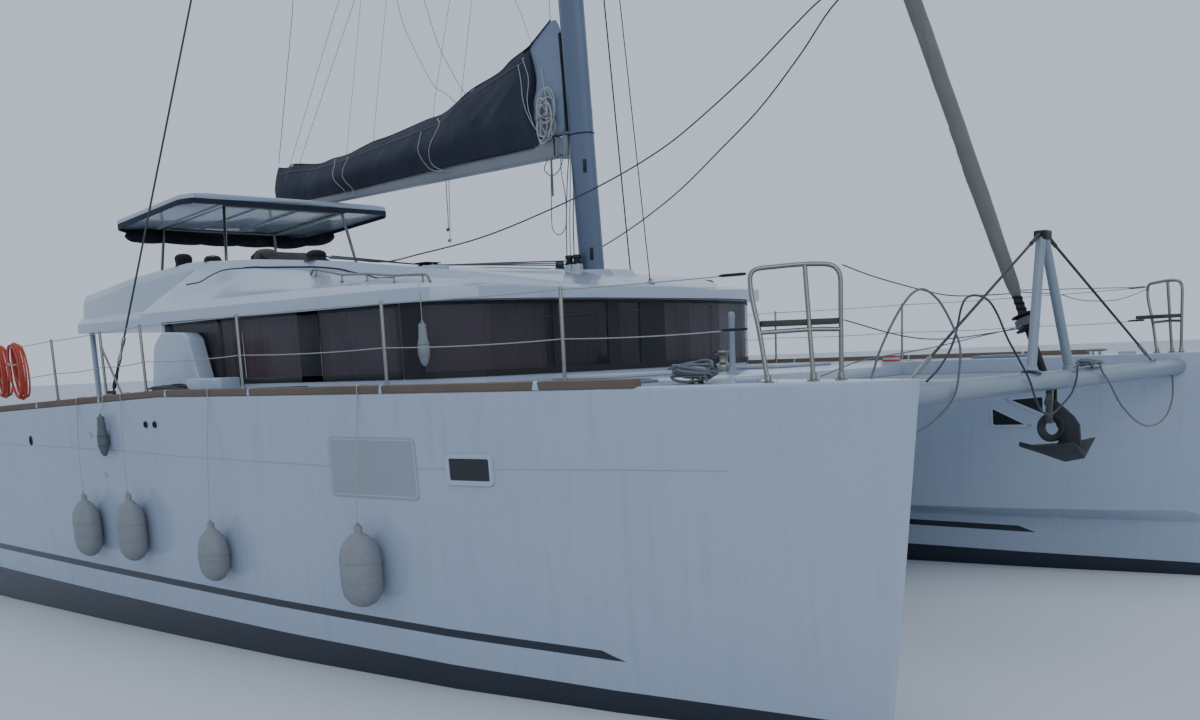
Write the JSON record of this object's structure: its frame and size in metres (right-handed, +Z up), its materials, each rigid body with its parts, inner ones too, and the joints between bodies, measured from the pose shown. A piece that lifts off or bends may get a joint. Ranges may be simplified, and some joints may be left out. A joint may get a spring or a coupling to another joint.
{
  "type": "sailing catamaran",
  "caption": "Cruising catamaran with a glazed saloon, a flybridge under a hardtop, a furled headsail and a boom with its sail bag, fore crossbeam with trampolines, stub keels and rudders.",
  "frame": {"origin": "on the centreline at mid-length, in the plane of the still water", "axes": "+X to the bow, +Y to port, +Z up"},
  "size_m": [13.94, 7.88, 21.9],
  "materials": {
    "gelcoat": "white gelcoat, glossy",
    "deck_nonskid": "moulded non-skid, matt",
    "dark_glass": "tinted acrylic, polished",
    "canvas": "woven acrylic canvas",
    "sailcloth": "woven sailcloth",
    "vinyl": "stitched vinyl",
    "stainless": "polished stainless steel",
    "anodised": "anodised aluminium",
    "galvanised": "galvanised steel, weathered",
    "wire": "stranded stainless wire",
    "teak": "oiled teak",
    "netting": "woven webbing",
    "antifouling": "antifouling paint, matt",
    "bronze": "cast bronze"
  },
  "bodies": {
    "boat": {"hull_port": "gelcoat", "hull_starboard": "gelcoat", "keel_port": "antifouling", "keel_starboard": "antifouling", "bridge_deck": "gelcoat", "saloon_walls": "gelcoat", "side_glass_port": "dark_glass", "side_glass_starboard": "dark_glass", "front_glass": "dark_glass", "after_bulkhead": "gelcoat", "roof_moulding": "gelcoat", "cockpit_wing_port": "gelcoat", "cockpit_wing_starboard": "gelcoat", "crossbeam": "anodised", "walkway": "anodised", "trampoline_port": "netting", "trampoline_starboard": "netting", "striker_frame": "anodised", "anchor_roller": "stainless", "anchor": "galvanised", "mast": "anodised", "furler_drum": "galvanised", "genoa_roll": "sailcloth", "cap_shroud_port": "wire", "cap_shroud_starboard": "wire", "bimini_top": "gelcoat", "bimini_frame": "stainless", "curtain_roll": "canvas", "helm_console": "gelcoat", "helm_seat": "vinyl", "fly_lounge": "gelcoat", "fly_cushion": "vinyl", "winch_aft": "stainless", "winch_mid": "stainless", "winch_fore": "stainless", "pulpit_port": "stainless", "pulpit_starboard": "stainless", "guard_rail_port": "stainless", "guard_rail_starboard": "stainless", "toe_rail_port": "teak", "toe_rail_starboard": "teak", "windlass": "stainless", "cockpit_cushion": "vinyl", "cockpit_table": "gelcoat", "saloon_settee": "vinyl", "drive_leg_port": "antifouling", "drive_leg_starboard": "antifouling"},
    "boom": {"boom": "anodised", "sail_bag": "canvas"},
    "helm_wheel": {"helm_wheel": "stainless"},
    "sliding_door": {"sliding_door": "dark_glass"},
    "rudder_port": {"rudder_port": "antifouling"},
    "rudder_starboard": {"rudder_starboard": "antifouling"},
    "propeller_port": {"propeller_port": "bronze"},
    "propeller_starboard": {"propeller_starboard": "bronze"},
    "locker_lid_port": {"locker_lid_port": "deck_nonskid"},
    "locker_lid_starboard": {"locker_lid_starboard": "deck_nonskid"},
    "engine_lid_port": {"engine_lid_port": "deck_nonskid"},
    "engine_lid_starboard": {"engine_lid_starboard": "deck_nonskid"}
  },
  "joints": [
    {"name": "boom_swing", "type": "hinge", "parent": "boat", "child": "boom", "pos_m": [1.33, 0, 4.43], "axis": [0, 0, 1], "range_deg": [-38, 54]},
    {"name": "rudder_turn_port", "type": "hinge", "parent": "boat", "child": "rudder_port", "pos_m": [-6.02, 3.23, -0.3], "axis": [0, 0, 1], "range_deg": [-35, 35]},
    {"name": "rudder_turn_starboard", "type": "hinge", "parent": "boat", "child": "rudder_starboard", "pos_m": [-6.02, -3.23, -0.3], "axis": [0, 0, 1], "range_deg": [-35, 35]},
    {"name": "wheel_turn", "type": "hinge", "parent": "boat", "child": "helm_wheel", "pos_m": [-2.342, -1.05, 3.36], "axis": [1, 0, 0], "range_deg": [-540, 540]},
    {"name": "propeller_turn_port", "type": "hinge", "parent": "boat", "child": "propeller_port", "pos_m": [-5.0003, 3.23, -0.66], "axis": [1, 0, 0], "continuous": true},
    {"name": "propeller_turn_starboard", "type": "hinge", "parent": "boat", "child": "propeller_starboard", "pos_m": [-5.0003, -3.23, -0.66], "axis": [1, 0, 0], "continuous": true},
    {"name": "door_slide", "type": "slide", "parent": "boat", "child": "sliding_door", "axis": [0, -1, 0], "range_m": [0, 1.1]},
    {"name": "locker_lid_hinge_port", "type": "hinge", "parent": "boat", "child": "locker_lid_port", "pos_m": [2.62, 1.2, 2.1733], "axis": [0, -1, 0], "range_deg": [0, 85]},
    {"name": "locker_lid_hinge_starboard", "type": "hinge", "parent": "boat", "child": "locker_lid_starboard", "pos_m": [2.62, -1.2, 2.1733], "axis": [0, -1, 0], "range_deg": [0, 85]},
    {"name": "engine_lid_hinge_port", "type": "hinge", "parent": "boat", "child": "engine_lid_port", "pos_m": [-3.45, 3.19, 2.035], "axis": [0, 1, 0], "range_deg": [0, 85]},
    {"name": "engine_lid_hinge_starboard", "type": "hinge", "parent": "boat", "child": "engine_lid_starboard", "pos_m": [-3.45, -3.19, 2.035], "axis": [0, 1, 0], "range_deg": [0, 85]}
  ],
  "couplings": [
    {"joint": "rudder_turn_starboard", "follows": "rudder_turn_port", "ratio": 1},
    {"joint": "wheel_turn", "follows": "rudder_turn_port", "ratio": 15.4}
  ]
}
